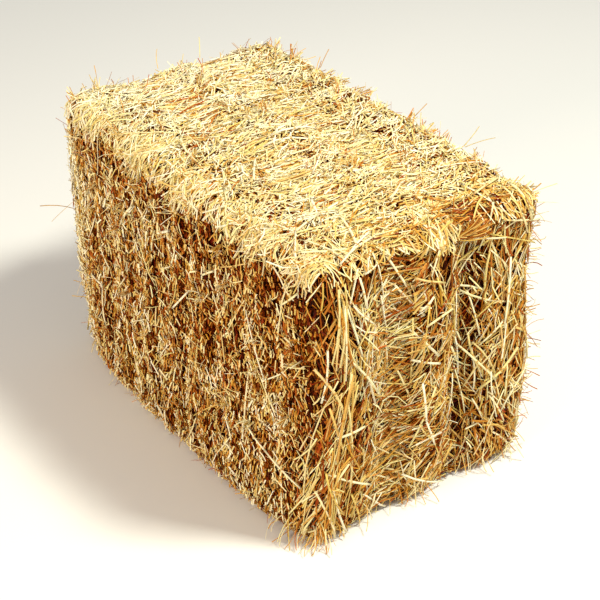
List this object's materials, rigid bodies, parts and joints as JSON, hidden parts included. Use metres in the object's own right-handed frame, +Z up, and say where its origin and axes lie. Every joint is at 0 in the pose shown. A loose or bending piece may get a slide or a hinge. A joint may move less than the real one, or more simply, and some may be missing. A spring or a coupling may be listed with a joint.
{
  "type": "square straw bale",
  "caption": "Small square bale of golden cereal straw, pressed in flakes and tied lengthwise with twine, for bedding, seating, stacking or decoration.",
  "frame": {"origin": "middle of the flat bottom, on the face that the bale rests on", "axes": "+X along the bale, -Y out of the cut side, +Z up"},
  "size_m": [0.669, 0.4139, 0.444],
  "materials": {
    "straw": "dry golden cereal straw, waxy and slightly glossy stalks, matt where broken",
    "twine": "twisted natural sisal, rough and matt"
  },
  "bodies": {
    "root": {"flake_01": "straw", "flake_02": "straw", "flake_03": "straw", "flake_04": "straw", "flake_05": "straw", "flake_06": "straw", "flake_07": "straw", "flake_08": "straw", "flake_09": "straw", "twine_cut_side": "twine", "twine_folded_side": "twine"}
  },
  "joints": []
}
